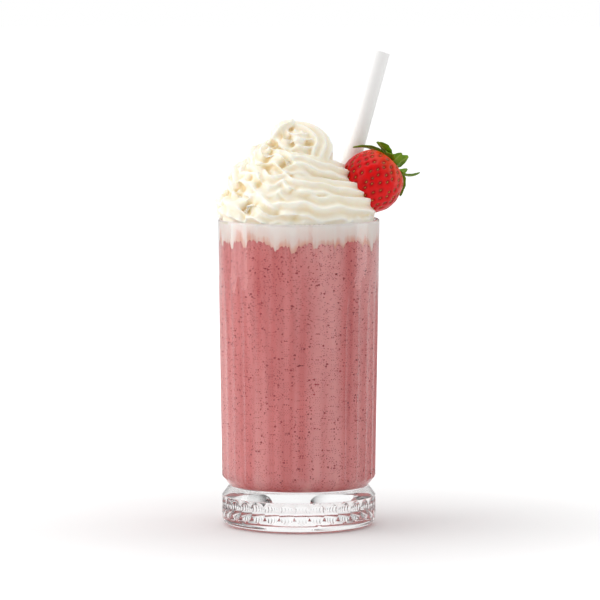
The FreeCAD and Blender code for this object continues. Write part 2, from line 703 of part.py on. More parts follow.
def make_bed():
    """The space above the drink: its underside is the bed of the cream, a little lower."""
    gap = size("fill_gap")
    rings = bed_rings(gap)
    outside = size("rim_radius")
    rings.append(ring(lambda angle: outside, lambda angle: bed_height(angle, 1.0) - gap))
    rings.append(ring(lambda angle: outside, lambda angle: size("glass_height")))
    feature = doc.addObject("Part::Feature", "bed")
    low = Vector(0, 0, bed_height(0.0, 0.0) - gap)
    feature.Shape = closed_solid(rings, low, Vector(0, 0, size("glass_height")))
    return feature


def make_drink(straw_space):
    """The milkshake: it fills the glass up to the cream, round the straw."""
    fill = new_body("glass_filling")
    sketch = new_sketch(fill, "filling_outline")
    floor = f"({cell('floor_height')} + {cell('fill_gap')})"
    wide = f"({FLOOR_RADIUS} - {cell('fill_gap')})"
    wide_top = f"({RIM_INSIDE} - {cell('fill_gap')})"
    top = f"({cell('glass_height')} - {cell('rim_round')})"
    draw_outline(sketch, (("0", floor), (wide, floor), (wide_top, top), ("0", top)))
    revolve(fill, sketch, "filling_blank")
    corner = (float(sketch.evalExpression(wide)), float(sketch.evalExpression(floor)))
    round_corner(fill, "filling_rounding", "floor_round", [corner])
    below = cut("drink_below_cream", fill, make_bed())
    return cut("milkshake", below, straw_space)


def make_cream(straw_space):
    """The whipped cream, with room for the straw and the strawberry in it."""
    beside_straw = cut("cream_beside_straw", make_cream_blank(), straw_space)
    return cut("whipped_cream", beside_straw, make_berry("berry_space", cell("fill_gap")))


# ---------------------------------------------------------------- whole document


def write_parts(parts):
    """Checks every object and every part's solid, then writes parts/NODE.step."""
    doc.recompute()
    for item in doc.Objects:
        if "Invalid" in item.State or "Error" in item.State:
            raise RuntimeError(f"{item.Label} could not be built: {item.State}")
    os.makedirs("parts", exist_ok=True)
    for part in parts:
        shape = part.Shape
        if shape.isNull() or not shape.isValid() or not shape.Solids:
            raise RuntimeError(f"{part.Label} has no valid solid")
        shape.exportStep(f"parts/{part.Label}.step")
        print(part.Label, len(shape.Solids), "solid", round(shape.Volume), "mm3", len(shape.Faces), "faces")


fill_sheet()
straw, straw_space = make_straw()
berry = make_berry("strawberry", "0")
pieces = [
    make_glass(),
    make_drink(straw_space),
    make_cream(straw_space),
    straw,
    berry,
    make_leaves(),
]
write_parts(pieces)
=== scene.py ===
"""Looks of the strawberry milkshake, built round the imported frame: glass, drink, piped cream, strawberry, straw.

Shapes are worked out in millimetres in the row's frame (+Z up, -Y the front) and scaled to metres when the mesh
is made. Everything is on the one body, "root".
"""

import math

import bpy
import numpy as np
from mathutils import Matrix, Vector
from mathutils import noise


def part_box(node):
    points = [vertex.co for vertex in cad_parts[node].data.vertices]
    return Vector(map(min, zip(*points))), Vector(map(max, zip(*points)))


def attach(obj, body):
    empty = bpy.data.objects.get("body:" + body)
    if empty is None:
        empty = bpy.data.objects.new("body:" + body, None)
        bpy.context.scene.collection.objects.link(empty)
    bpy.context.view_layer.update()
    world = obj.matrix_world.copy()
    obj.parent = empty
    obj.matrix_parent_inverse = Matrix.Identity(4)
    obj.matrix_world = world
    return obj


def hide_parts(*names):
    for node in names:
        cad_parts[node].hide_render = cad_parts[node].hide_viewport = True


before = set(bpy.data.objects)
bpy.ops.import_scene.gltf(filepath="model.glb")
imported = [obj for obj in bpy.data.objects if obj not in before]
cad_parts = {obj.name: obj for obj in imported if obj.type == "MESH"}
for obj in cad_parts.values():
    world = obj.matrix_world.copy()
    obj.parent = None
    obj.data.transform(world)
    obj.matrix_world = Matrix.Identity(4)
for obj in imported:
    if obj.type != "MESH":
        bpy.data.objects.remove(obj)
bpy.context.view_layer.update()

MM = 0.001
SEED = 7
rng = np.random.default_rng(SEED)
noise.seed_set(SEED)  # without it, noise_vector takes its offsets from the clock

# ---------------------------------------------------------------- sizes, millimetres


def node_box(node):
    """Lowest and highest corner of a CAD node, in millimetres."""
    low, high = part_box(node)
    return np.array(low) / MM, np.array(high) / MM


RIM_HEIGHT = node_box("glass")[1][2]
RIM_RADIUS = 35.0
RIM_WALL = 2.0
FLOOR_HEIGHT = 17.6
FLOOR_RADIUS = 29.2
FLOOR_ROUND = 9.0
INTO_WALL = 0.18  # how far drink and cream reach into the glass wall, so that no air gap shows

BERRY_RADIUS = 14.7
BERRY_LENGTH = 33.0
BERRY_CAP = np.array([RIM_RADIUS + 4.0, 10.5, RIM_HEIGHT + 22.7])
BERRY_RISE = math.radians(38.7)
BERRY_HEADING = math.radians(30.8)
LEAF_TURN = 41.2

# ---------------------------------------------------------------- mesh helpers


def make_piece(name, points, faces, material, smooth=True):
    """A mesh object from points in millimetres."""
    mesh = bpy.data.meshes.new(name)
    mesh.from_pydata((np.asarray(points, float) * MM).tolist(), [], [tuple(map(int, f)) for f in faces])
    mesh.validate()
    mesh.update()
    piece = bpy.data.objects.new(name, mesh)
    bpy.context.scene.collection.objects.link(piece)
    mesh.materials.append(material)
    if smooth:
        mesh.shade_smooth()
    return piece


def ring_faces(rows, columns):
    """Quads between rows of points that each close round the axis."""
    row, column = np.meshgrid(np.arange(rows - 1), np.arange(columns), indexing="ij")
    a = row * columns + column
    b = row * columns + (column + 1) % columns
    return np.stack([a, b, b + columns, a + columns], axis=-1).reshape(-1, 4)


def rounded_outline(corners, steps=8):
    """Points along straight lines through corners (radius, height, rounding), with arcs at the corners."""
    points = []
    last = len(corners) - 1
    for i, (x, z, rounding) in enumerate(corners):
        here = np.array([x, z], float)
        if rounding == 0 or i in (0, last):
            points.append(here)
            continue
        before = np.array(corners[i - 1][:2], float) - here
        after = np.array(corners[i + 1][:2], float) - here
        before /= np.linalg.norm(before)
        after /= np.linalg.norm(after)
        half = 0.5 * math.acos(np.clip(before @ after, -1, 1))
        middle = (before + after) / np.linalg.norm(before + after)
        centre = here + middle * rounding / math.sin(half)
        start = here + before * rounding / math.tan(half) - centre
        end = here + after * rounding / math.tan(half) - centre
        turn = math.pi - 2 * half
        for k in range(steps + 1):
            share = k / steps
            weight_a = math.sin((1 - share) * turn) / math.sin(turn)
            weight_b = math.sin(share * turn) / math.sin(turn)
            points.append(centre + start * weight_a + end * weight_b)
    return np.array(points)


def resample(outline, step):
    """The outline with points added wherever two neighbours are more than a step apart."""
    points = [outline[0]]
    for a, b in zip(outline[:-1], outline[1:]):
        count = max(1, math.ceil(np.linalg.norm(b - a) / step))
        for k in range(1, count + 1):
            points.append(a + (b - a) * k / count)
    return np.array(points)


def shown_mesh(piece):
    """Applies the piece's modifiers."""
    depsgraph = bpy.context.evaluated_depsgraph_get()
    mesh = bpy.data.meshes.new_from_object(piece.evaluated_get(depsgraph))
    old = piece.data
    piece.modifiers.clear()
    piece.data = mesh
    bpy.data.meshes.remove(old)
    return mesh


def vertex_array(mesh):
    co = np.empty(len(mesh.vertices) * 3, np.float32)
    mesh.vertices.foreach_get("co", co)
    return co.reshape(-1, 3).astype(float)


def normal_array(mesh):
    normals = np.empty(len(mesh.vertices) * 3, np.float32)
    mesh.vertices.foreach_get("normal", normals)
    return normals.reshape(-1, 3).astype(float)


def store_float(mesh, name, values):
    attribute = mesh.attributes.new(name, "FLOAT", "POINT")
    attribute.data.foreach_set("value", np.asarray(values, np.float32))


# ---------------------------------------------------------------- material helpers


class Material:
    """A node material with a Principled shader, and short calls to add nodes and links."""

    def __init__(self, name, **values):
        self.material = bpy.data.materials.new(name)
        self.material.use_nodes = True
        self.tree = self.material.node_tree
        self.shader = self.tree.nodes["Principled BSDF"]
        for socket, value in values.items():
            self.shader.inputs[socket.replace("_", " ")].default_value = value

    def node(self, kind, links=None, **settings):
        node = self.tree.nodes.new(kind)
        for key, value in settings.items():
            if key.startswith("in_"):
                self.socket(node, key[3:].replace("_", " ")).default_value = value
            else:
                setattr(node, key, value)
        for key, source in (links or {}).items():
            self.link(source, node, key)
        return node

    def socket(self, node, key):
        return node.inputs[int(key)] if key.isdigit() else node.inputs[key]

    def link(self, source, node, key):
        output = source.outputs[0] if hasattr(source, "outputs") else source
        self.tree.links.new(output, self.socket(node, key))

    def coordinates(self, scale=(1, 1, 1)):
        place = self.node("ShaderNodeTexCoord")
        mapping = self.node("ShaderNodeMapping", {"Vector": place.outputs["Object"]})
        mapping.inputs["Scale"].default_value = scale
        return mapping

    def noise(self, where, scale, detail=2.0, rough=0.5):
        return self.node("ShaderNodeTexNoise", {"Vector": where}, in_Scale=scale, in_Detail=detail, in_Roughness=rough)

    def ramp(self, source, stops):
        """A colour ramp with stops of (position, colour)."""
        node = self.node("ShaderNodeValToRGB", {"Fac": source})
        elements = node.color_ramp.elements
        while len(elements) < len(stops):
            elements.new(0.5)
        for element, (position, colour) in zip(elements, stops):
            element.position = position
            element.color = colour if len(colour) == 4 else (*colour, 1)
        return node

    def mix(self, factor, a, b, mode="MIX"):
        """Mixes two colours, each a node or a value."""
        node = self.node("ShaderNodeMix", data_type="RGBA", blend_type=mode)
        for key, value in ((0, factor), (6, a), (7, b)):
            if hasattr(value, "outputs") or hasattr(value, "is_linked"):
                self.tree.links.new(value.outputs[0] if hasattr(value, "outputs") else value, node.inputs[key])
            else:
                node.inputs[key].default_value = value if key == 0 else (*value, 1)
        return node.outputs[2]

    def math(self, operation, a, b=0.0, clamp=False):
        node = self.node("ShaderNodeMath", operation=operation, use_clamp=clamp)
        for key, value in ((0, a), (1, b)):
            if hasattr(value, "outputs") or hasattr(value, "is_linked"):
                self.tree.links.new(value.outputs[0] if hasattr(value, "outputs") else value, node.inputs[key])
            else:
                node.inputs[key].default_value = value
        return node.outputs[0]

    def bump(self, source, strength, distance):
        node = self.node("ShaderNodeBump", {"Height": source}, in_Strength=strength, in_Distance=distance)
        self.link(node, self.shader, "Normal")
        return node

    def colour(self, source):
        self.link(source, self.shader, "Base Color")


def srgb(red, green, blue):
    """Linear colour of an sRGB one, 0 to 255."""
    return tuple(
        c / 12.92 if c <= 0.04045 else ((c + 0.055) / 1.055) ** 2.4 for c in (v / 255 for v in (red, green, blue))
    )


# ---------------------------------------------------------------- materials


def glass_material():
    made = Material("clear_glass", Roughness=0.02, IOR=1.5, Transmission_Weight=1.0)
    where = made.coordinates()
    tone = made.noise(where, 9.0)
    made.colour(made.ramp(tone, ((0.3, (0.985, 0.99, 0.99)), (0.7, (1.0, 1.0, 1.0)))))
    ripple = made.noise(made.coordinates((1, 1, 0.3)), 60.0, 1.0)
    made.bump(ripple, 0.08, 0.0004)
    return made.material


# Flecks of fruit in the drink: grains to the metre, size, share of the places left bare, strength.
FLECK_LAYERS = (
    (1150.0, 0.30, 0.46, 0.6),
    (560.0, 0.20, 0.5, 0.85),
    (330.0, 0.13, 0.55, 0.9),
)


def milkshake_material():
    """Pink, with fine pale upright streaks of painted light from the glass's flutes and wide pale streaks that are
    partly milk film and partly painted reflection, all round, full of fine dark red flecks of fruit.
    """
    made = Material("milkshake", Roughness=0.38, IOR=1.36, Subsurface_Weight=0.1)
    made.shader.inputs["Subsurface Radius"].default_value = (0.003, 0.0012, 0.001)
    made.shader.inputs["Subsurface Scale"].default_value = 1.0
    cloud = made.noise(made.coordinates((1, 1, 0.5)), 60.0, 3.0)
    base = made.ramp(cloud, ((0.3, srgb(212, 106, 106)), (0.7, srgb(224, 122, 121))))
    # painted light: fine pale upright streaks that stand in for the bright bands the glass's flutes throw on the drink
    streak = made.noise(made.coordinates((1, 1, 0.04)), 230.0, 2.0)
    share = made.ramp(streak, ((0.36, (0, 0, 0)), (0.66, (1, 1, 1))))
    streaked_with_painted_light = made.mix(made.math("MULTIPLY", share.outputs[0], 0.42), base.outputs[0], srgb(243, 168, 166))
    # wide pale streaks: partly a film of milk on the glass, partly painted reflection of the lamps at the glass's sides
    wide = made.noise(made.coordinates((1, 1, 0.03)), 80.0, 1.0)
    film_and_painted_reflection = made.ramp(wide, ((0.44, (0, 0, 0)), (0.64, (1, 1, 1))))
    pale = made.mix(made.math("MULTIPLY", film_and_painted_reflection.outputs[0], 0.55), streaked_with_painted_light, srgb(250, 192, 190))
    colour = pale
    for scale, reach, least, strength in FLECK_LAYERS:
        grain = made.node("ShaderNodeTexVoronoi", {"Vector": made.coordinates((1, 1, 1.4))}, in_Scale=scale)
        thin = made.math("LESS_THAN", grain.outputs["Distance"], reach)
        some = made.math("GREATER_THAN", made.noise(made.coordinates(), 0.3 * scale, 1.0), least)
        fleck = made.math("MULTIPLY", made.math("MULTIPLY", thin, some), strength)
        colour = made.mix(fleck, colour, srgb(172, 44, 54))
    made.colour(colour)
    made.bump(made.noise(made.coordinates(), 420.0, 2.0), 0.15, 0.0003)
    return made.material


def cream_material():
    """Off-white, with painted shade that makes it warmer and darker in its hollows, and a soft satin surface."""
    made = Material("whipped_cream", Roughness=0.42, IOR=1.4, Subsurface_Weight=0.35)
    made.shader.inputs["Subsurface Radius"].default_value = (0.006, 0.0042, 0.0025)
    made.shader.inputs["Subsurface Scale"].default_value = 0.6
    # painted shade: the deeper a point lies in a hollow, the warmer and darker the cream's colour
    hollow_shade = made.node("ShaderNodeAttribute", attribute_name="hollow_shade")
    tone = made.ramp(
        hollow_shade.outputs["Fac"],
        (
            (0.0, srgb(250, 246, 234)),
            (0.5, srgb(246, 237, 216)),
            (0.8, srgb(243, 228, 194)),
            (1.0, srgb(236, 212, 158)),
        ),
    )
    cloud = made.noise(made.coordinates(), 45.0, 2.0)
    made.colour(made.mix(made.math("MULTIPLY", cloud, 0.18), tone.outputs[0], srgb(247, 240, 222)))
    made.bump(made.noise(made.coordinates(), 900.0, 3.0), 0.12, 0.0002)
    return made.material


def cream_wall_material():
    """Cream smeared inside the glass, pinker where it meets the drink."""
    made = Material("cream_in_glass", Roughness=0.45, IOR=1.4, Subsurface_Weight=0.2)
    made.shader.inputs["Subsurface Radius"].default_value = (0.005, 0.003, 0.002)
    made.shader.inputs["Subsurface Scale"].default_value = 0.5
    height = made.node("ShaderNodeAttribute", attribute_name="above_drink")
    streak = made.noise(made.coordinates((1, 1, 0.5)), 130.0, 4.0)
    level = made.math("ADD", made.math("MULTIPLY", height.outputs["Fac"], 0.5), streak)
    tone = made.ramp(
        level,
        (
            (0.44, srgb(236, 172, 148)),
            (0.55, srgb(240, 202, 188)),
            (0.66, srgb(249, 232, 224)),
            (1.0, srgb(252, 244, 238)),
        ),
    )
    made.colour(tone)
    return made.material


def straw_material():
    made = Material("white_straw", Roughness=0.42, IOR=1.5, Subsurface_Weight=0.1)
    made.shader.inputs["Subsurface Radius"].default_value = (0.002, 0.002, 0.002)
    along = made.noise(made.coordinates((1, 1, 0.1)), 90.0, 2.0)
    made.colour(made.ramp(along, ((0.3, srgb(248, 247, 246)), (0.7, srgb(252, 252, 251)))))
    made.bump(made.noise(made.coordinates(), 700.0, 2.0), 0.05, 0.0001)
    return made.material


def berry_material():
    """Red skin, orange to pale near the cap, with painted shade darkening it towards the pits."""
    made = Material("strawberry_skin", Roughness=0.32, IOR=1.3, Specular_IOR_Level=0.3, Coat_Weight=0.18)
    made.shader.inputs["Coat Roughness"].default_value = 0.06
    cloud = made.noise(made.coordinates(), 110.0, 3.0)
    red = made.ramp(cloud, ((0.3, srgb(204, 2, 5)), (0.7, srgb(238, 6, 9))))
    cap = made.node("ShaderNodeAttribute", attribute_name="to_cap")
    near_cap = ((0.0, (0, 0, 0)), (0.72, (0, 0, 0)), (0.9, (0.5, 0.5, 0.5)), (1.0, (1, 1, 1)))
    pale = made.ramp(cap.outputs["Fac"], near_cap)
    skin = made.mix(pale.outputs[0], red.outputs[0], srgb(232, 80, 22))
    # painted shade: the skin turns dark red the deeper it lies in a seed's pit
    pit_shade = made.node("ShaderNodeAttribute", attribute_name="pit_shade")
    made.colour(made.mix(made.math("MULTIPLY", pit_shade.outputs["Fac"], 0.85), skin, srgb(110, 2, 8)))
    made.bump(made.noise(made.coordinates(), 500.0, 2.0), 0.1, 0.0002)
    return made.material


def seed_material():
    made = Material("seeds", Roughness=0.35)
    tone = made.noise(made.coordinates(), 260.0, 1.0)
    made.colour(made.ramp(tone, ((0.3, srgb(150, 84, 22)), (0.7, srgb(202, 148, 52)))))
    return made.material


def leaf_material():
    made = Material("strawberry_leaves", Roughness=0.5, Subsurface_Weight=0.08, Specular_IOR_Level=0.25)
    made.shader.inputs["Subsurface Radius"].default_value = (0.001, 0.002, 0.0005)
    vein = made.node("ShaderNodeAttribute", attribute_name="vein")
    patch = made.noise(made.coordinates(), 160.0, 3.0)
    green = made.ramp(patch, ((0.3, srgb(84, 120, 4)), (0.7, srgb(120, 162, 10))))
    made.colour(made.mix(vein.outputs["Fac"], green.outputs[0], srgb(158, 176, 84)))
    made.bump(made.noise(made.coordinates(), 700.0, 2.0), 0.25, 0.0003)
    return made.material


def speck_material():
    made = Material("fruit_specks", Roughness=0.4)
    tone = made.noise(made.coordinates(), 200.0, 1.0)
    made.colour(made.ramp(tone, ((0.3, srgb(150, 16, 30)), (0.7, srgb(184, 40, 54)))))
    return made.material


# ---------------------------------------------------------------- drink


def cavity_outline(grown):
    """Inside of the glass from the middle of its floor up to the rim, grown into the wall."""
    corners = (
        (0.0, FLOOR_HEIGHT - grown, 0),
        (FLOOR_RADIUS + grown, FLOOR_HEIGHT - grown, FLOOR_ROUND),
        (RIM_RADIUS - RIM_WALL + grown, RIM_HEIGHT - 0.6, 0),
    )
    return rounded_outline(corners, 14)


def cavity_radius(height, grown=INTO_WALL):
    share = (height - FLOOR_HEIGHT) / (RIM_HEIGHT - FLOOR_HEIGHT)
    return FLOOR_RADIUS + (RIM_RADIUS - RIM_WALL - FLOOR_RADIUS) * share + grown


def drip_line(angle):
    """Height of the line between drink and cream on the wall: runs of cream of uneven width hang from it."""
    wave = 1.1 * np.sin(5 * angle + 0.4) + 0.8 * np.sin(9 * angle + 2.1) + 0.6 * np.sin(17 * angle)
    runs = np.sin(23 * angle + 2 * np.sin(3 * angle)) + 0.6 * np.sin(41 * angle + 1.3 + 2 * np.sin(5 * angle))
    fine = 0.35 * np.sin(97 * angle + 3 * np.sin(7 * angle)) + 0.25 * np.sin(151 * angle)
    return RIM_HEIGHT - 8.6 + 0.8 * wave - 2.6 * smooth_step(runs, -0.1, 1.3) + fine


COLUMNS = 512


def build_drink(material):
    angle = 2 * np.pi * np.arange(COLUMNS) / COLUMNS
    outline = cavity_outline(INTO_WALL)
    rows = []
    wall = outline[outline[:, 1] < RIM_HEIGHT - 20]
    wall = resample(wall, 3.0)
    for r, z in wall[1:]:
        rows.append(np.stack([r * np.cos(angle), r * np.sin(angle), np.full(COLUMNS, z)], axis=-1))
    low = wall[-1, 1]
    top = drip_line(angle)
    for share in np.linspace(0, 1, 15)[1:]:
        z = low + (top - low) * share
        r = cavity_radius(z)
        rows.append(np.stack([r * np.cos(angle), r * np.sin(angle), z], axis=-1))
    for share in (0.9, 0.6, 0.3):
        r = share * cavity_radius(top)
        z = top * share + (1 - share) * (RIM_HEIGHT - 10)
        rows.append(np.stack([r * np.cos(angle), r * np.sin(angle), z], axis=-1))
    points = np.concatenate([np.concatenate(rows), [[0, 0, wall[0, 1]], [0, 0, RIM_HEIGHT - 10]]])
    faces = [tuple(face) for face in ring_faces(len(rows), COLUMNS)]
    low_point, high_point = len(points) - 2, len(points) - 1
    last = (len(rows) - 1) * COLUMNS
    for column in range(COLUMNS):
        after = (column + 1) % COLUMNS
        faces.append((low_point, after, column))
        faces.append((high_point, last + column, last + after))
    piece = make_piece("milkshake_body", points, faces, material)
    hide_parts("milkshake")
    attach(piece, "root")


def build_specks(material):
    """Bits of fruit and seed lying against the glass, each a thin uneven flake."""
    count, corners = 3400, 6
    points, faces = [], []
    for number in range(count):
        angle = rng.uniform(-math.pi, math.pi)
        height = rng.uniform(FLOOR_HEIGHT + 4, RIM_HEIGHT - 12)
        size = 0.17 + 0.5 * rng.random() ** 3.4
        wide = size * rng.uniform(0.9, 1.7)
        radius = cavity_radius(height, INTO_WALL)
        start = len(points)
        for layer, (out, share) in enumerate(((-0.15, 0.9), (0.06, 1.0), (0.12, 0.6))):
            for corner in range(corners):
                turn = 2 * math.pi * corner / corners
                reach = share * (0.75 + 0.25 * math.sin(3 * turn + number) + 0.12 * math.sin(5 * turn + 2 * number))
                across = wide * reach * math.cos(turn) / radius
                r = radius + out
                points.append(
                    (r * math.cos(angle + across), r * math.sin(angle + across), height + size * reach * math.sin(turn))
                )
        for layer in range(2):
            for corner in range(corners):
                a = start + layer * corners + corner
                b = start + layer * corners + (corner + 1) % corners
                faces.append((a, b, b + corners, a + corners))
        faces.append(tuple(start + corners * 2 + k for k in range(corners)))
        faces.append(tuple(start + corners - 1 - k for k in range(corners)))
    piece = make_piece("fruit_specks", points, faces, material)
    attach(piece, "root")


# ---------------------------------------------------------------- cream


def star_rope(path, radius, phase, ridges=10, depth=0.22, profile=90, closed_ends=True):
    """A rope with star ridges round it, swept along a path.

    path is (n, 3) points; radius and phase (turn of the ridges) are one value for each point.
    """
    tangent = np.gradient(path, axis=0)
    tangent /= np.linalg.norm(tangent, axis=1, keepdims=True)
    out = path.copy()
    out[:, 2] = 0.35 * (path[:, 2] - RIM_HEIGHT)
    out -= tangent * np.sum(out * tangent, axis=1, keepdims=True)
    out /= np.linalg.norm(out, axis=1, keepdims=True)
    up = np.cross(tangent, out)
    up *= np.sign(np.sum(up[:, 2]))
    around = 2 * np.pi * np.arange(profile) / profile
    ridge = np.abs(np.sin(0.5 * (ridges * around[None, :] - phase[:, None])))
    reach = radius[:, None] * (1 - depth * ridge)
    side = np.cos(around)[None, :, None] * out[:, None, :] + np.sin(around)[None, :, None] * up[:, None, :]
    rings = path[:, None, :] + reach[:, :, None] * side
    rows = len(path)
    points = rings.reshape(-1, 3)
    faces = ring_faces(rows, profile).tolist()
    if closed_ends:
        points = np.concatenate([points, path[:1], path[-1:]])
        first, last = len(points) - 2, len(points) - 1
        for column in range(profile):
            after = (column + 1) % profile
            faces.append((first, after, column))
            faces.append((last, (rows - 1) * profile + column, (rows - 1) * profile + after))
    return points, faces


def smooth_step(value, low, high):
    share = np.clip((value - low) / (high - low), 0, 1)
    return share * share * (3 - 2 * share)


SWIRL_TURNS = 2.95


def coil():
    """The main rope: a first full turn on the rim, then a climb inwards. Its ridges ruffle on the left side."""
    turn = np.linspace(-0.75, SWIRL_TURNS, 1150)
    share = np.clip(turn / 3.3, 0, 1)
    angle = 2 * np.pi * (0.5 - turn)
    left = 0.5 - 0.5 * np.cos(angle)
    swirl = 25.0 + (2.0 - 25.0) * share**1.3
    rope = 10.2 - 3.8 * share
    wobble = np.sin(9.0 * angle + 2.4 * turn) + 0.6 * np.sin(14.0 * angle + 5.1 * turn)
    swirl = swirl + 0.55 * left * wobble
    rope = rope * (1 + 0.035 * left * np.sin(11.0 * angle + 1.7 * turn))
    fade = 1 - smooth_step(turn, SWIRL_TURNS - 0.12, SWIRL_TURNS)
    rope = rope * (0.25 + 0.75 * fade)
    x, y = swirl * np.cos(angle), swirl * np.sin(angle)
    height = 4.0 + 33.5 * share - x * math.tan(math.radians(7.0)) * np.sin(np.pi * share)
    climbed = 0.15 + 0.85 * np.clip(height / 37.5, 0, 1)
    path = np.stack([x - 2.0 * np.sin(np.pi * climbed), y + 1.2, RIM_HEIGHT + height], axis=-1)
    ruffle = 1.2 * left * (np.sin(11 * angle + 2.4 * turn) + 0.5 * np.sin(17 * angle + 1.1 * turn))
    phase = 11 * 0.42 * 2 * np.pi * turn + 2.2 * ruffle
    return star_rope(path, rope, phase, ridges=11, depth=0.2)


def foot_ruffle():
    """The thin scalloped lip of cream that lies just inside the rim."""
    angle = np.linspace(0, 2 * np.pi, 900)
    reach = 31.0 + 0.35 * np.sin(13 * angle) + 0.3 * np.sin(29 * angle + 1.0)
    height = RIM_HEIGHT + 0.7 + 0.4 * np.sin(17 * angle + 0.5) + 0.3 * np.sin(37 * angle)
    path = np.stack([reach * np.cos(angle), reach * np.sin(angle), height], axis=-1)
    return star_rope(path, np.full(900, 1.5), np.zeros(900), ridges=3, depth=0.1, profile=16, closed_ends=True)


def fold_rope(corners, radii, twist, ridges=8, depth=0.24, steps=150):
    """A short rope through a few given points (x, y, height above the rim)."""
    corners = np.array(corners, float)
    corners[:, 2] += RIM_HEIGHT
    path = spline(corners, steps)
    radius = np.interp(np.linspace(0, 1, steps), np.linspace(0, 1, len(radii)), radii)
    phase = np.linspace(0, twist * 2 * np.pi, steps)
    return star_rope(path, radius, phase, ridges=ridges, depth=depth, profile=72)


def spline(corners, steps):
    """A smooth (Catmull-Rom) line through points."""
    padded = np.concatenate([[2 * corners[0] - corners[1]], corners, [2 * corners[-1] - corners[-2]]])
    values = []
    spans = len(corners) - 1
    for position in np.linspace(0, spans - 1e-9, steps):
        i = int(position)
        u = position - i
        a, b, c, d = padded[i : i + 4]
        values.append(
            0.5 * (2 * b + (c - a) * u + (2 * a - 5 * b + 4 * c - d) * u**2 + (3 * b - a - 3 * c + d) * u**3)
        )
    return np.array(values)


def build_cream(material):
    pieces = [coil(), foot_ruffle()]
    # the rope's end folds over the top to the front and right
    pieces.append(
        fold_rope(
            ((-9, 6, 27), (-6.4, 3, 32.4), (-1.6, 0.6, 34.6), (3.8, -1.6, 33.2), (6.8, -4.2, 28.6), (6.6, -8.0, 23.5)),
            (7.0, 8.0, 8.4, 8.8, 8.8, 7.0),
            0.1,
            ridges=11,
            depth=0.2,
        )
    )
    # a shell that curls under it at the front
    pieces.append(
        fold_rope(
            ((4, -13, 22.0), (0, -14.5, 24.0), (-4.5, -14.0, 25.6), (-7.5, -11.5, 24.0), (-6.0, -13.5, 21.5)),
            (2.6, 4.0, 4.4, 3.6, 1.6),
            0.5,
            ridges=6,
        )
    )
    # the pulled peak
    pieces.append(
        fold_rope(
            ((-9, 0, 32), (-8.4, -3, 36), (-6.6, -4.2, 39.4), (-3.6, -3.4, 41.4), (-2.3, -2.4, 43.8)),
            (5.0, 4.6, 3.6, 2.2, 0.4),
            0.5,
            ridges=6,
        )
    )
    points, faces = [], []
    for piece_points, piece_faces in pieces:
        start = len(points)
        points.extend(piece_points.tolist())
        faces.extend([tuple(i + start for i in face) for face in piece_faces])
    core = cream_core()
    start = len(points)
    points.extend(core[0].tolist())
    faces.extend([tuple(i + start for i in face) for face in core[1]])
    piece = make_piece("cream_swirl", points, faces, material)
    remesh = piece.modifiers.new("remesh", "REMESH")
    remesh.mode = "VOXEL"
    remesh.voxel_size = 0.47 * MM
    mesh = shown_mesh(piece)
    mesh.materials.clear()
    mesh.materials.append(material)
    soften(mesh, 2)
    co = vertex_array(mesh)
    normals = normal_array(mesh)
    low = np.array([noise.noise(Vector(p) * 90.0) for p in co])
    fine = np.array([noise.noise(Vector(p) * 420.0) for p in co])
    top = RIM_HEIGHT * MM
    free = np.clip((co[:, 2] - top) / 0.004, 0, 1)
    co += normals * (free * (0.35 * low + 0.09 * fine) * MM)[:, None]
    co += normals * (free * MM * (petals(co) - dimples(co, normals)))[:, None]
    co = rest_on_rim(co)
    mesh.vertices.foreach_set("co", co.astype(np.float32).ravel())
    mesh.update()
    mesh.shade_smooth()
    store_hollow_shade(mesh)
    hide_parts("whipped_cream")
    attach(piece, "root")
    print("cream faces", len(mesh.polygons))


# Deep hollows between the petals, seen from the front: across, height above the rim, radius, depth.
DIMPLES = (
    (-12.6, 28.0, 2.0, 2.0),
    (-25.7, 12.4, 2.4, 2.2),
    (-20.7, 6.2, 2.0, 2.0),
    (-10.8, 4.0, 2.2, 1.8),
    (-1.0, 3.2, 2.2, 1.4),
    (-1.2, 14.2, 1.6, 1.3),
    (-28.5, 2.0, 1.6, 1.2),
    (-3.4, 34.6, 1.4, 1.6),
    (3.4, 33.6, 1.5, 1.5),
    (-5.0, 24.6, 1.8, 1.8),
    (-16.0, 16.5, 1.8, 1.4),
    (-22.0, 20.5, 1.8, 1.4),
)


def dimples(co, normals):
    """How deep the hollows are at each point, in millimetres."""
    depth = np.zeros(len(co))
    facing = np.clip(-2.0 * normals[:, 1] + 0.4, 0, 1)
    ragged = np.array([noise.noise_vector(Vector(p) * 170.0) for p in co]) * 2.6
    for across, height, radius, deep in DIMPLES:
        dx = co[:, 0] / MM - across + ragged[:, 0]
        dz = co[:, 2] / MM - RIM_HEIGHT - height + ragged[:, 2] - 0.45 * dx
        depth += deep * facing * np.exp(-(dx**2 / (1.5 * radius**2) + dz**2 / radius**2))
    return depth


def petals(co):
    """Height of the thin ruffled petals that stand off the rope's left side, in millimetres."""
    side = np.clip(0.45 - co[:, 0] / MM / 30.0, 0.0, 1.0)
    folds = np.array([noise.noise(Vector((p[0] * 95.0, p[1] * 95.0, p[2] * 190.0 + p[0] * 60.0))) for p in co])
    crests = np.array([noise.noise(Vector((p[0] * 210.0 + 7.0, p[1] * 210.0, p[2] * 330.0))) for p in co])
    return side * (1.1 * (0.5 - np.abs(folds) * 2.2) + 0.25 * (0.4 - np.abs(crests) * 2.0))


def rest_on_rim(co):
    """Keeps the cream off the glass: inside its wall below the rim, and above the rim where it hangs over."""
    inside, above = (RIM_RADIUS - RIM_WALL - 0.15) * MM, (RIM_HEIGHT + 0.15) * MM
    radius = np.hypot(co[:, 0], co[:, 1])
    out = radius - inside
    under = above - co[:, 2]
    clash = (out > 0) & (under > 0)
    inwards = clash & (out <= under)
    shrink = np.where(inwards, inside / np.maximum(radius, 1e-9), 1.0)
    co[:, 0] *= shrink
    co[:, 1] *= shrink
    co[:, 2] = np.where(clash & ~inwards, above, co[:, 2])
    return co


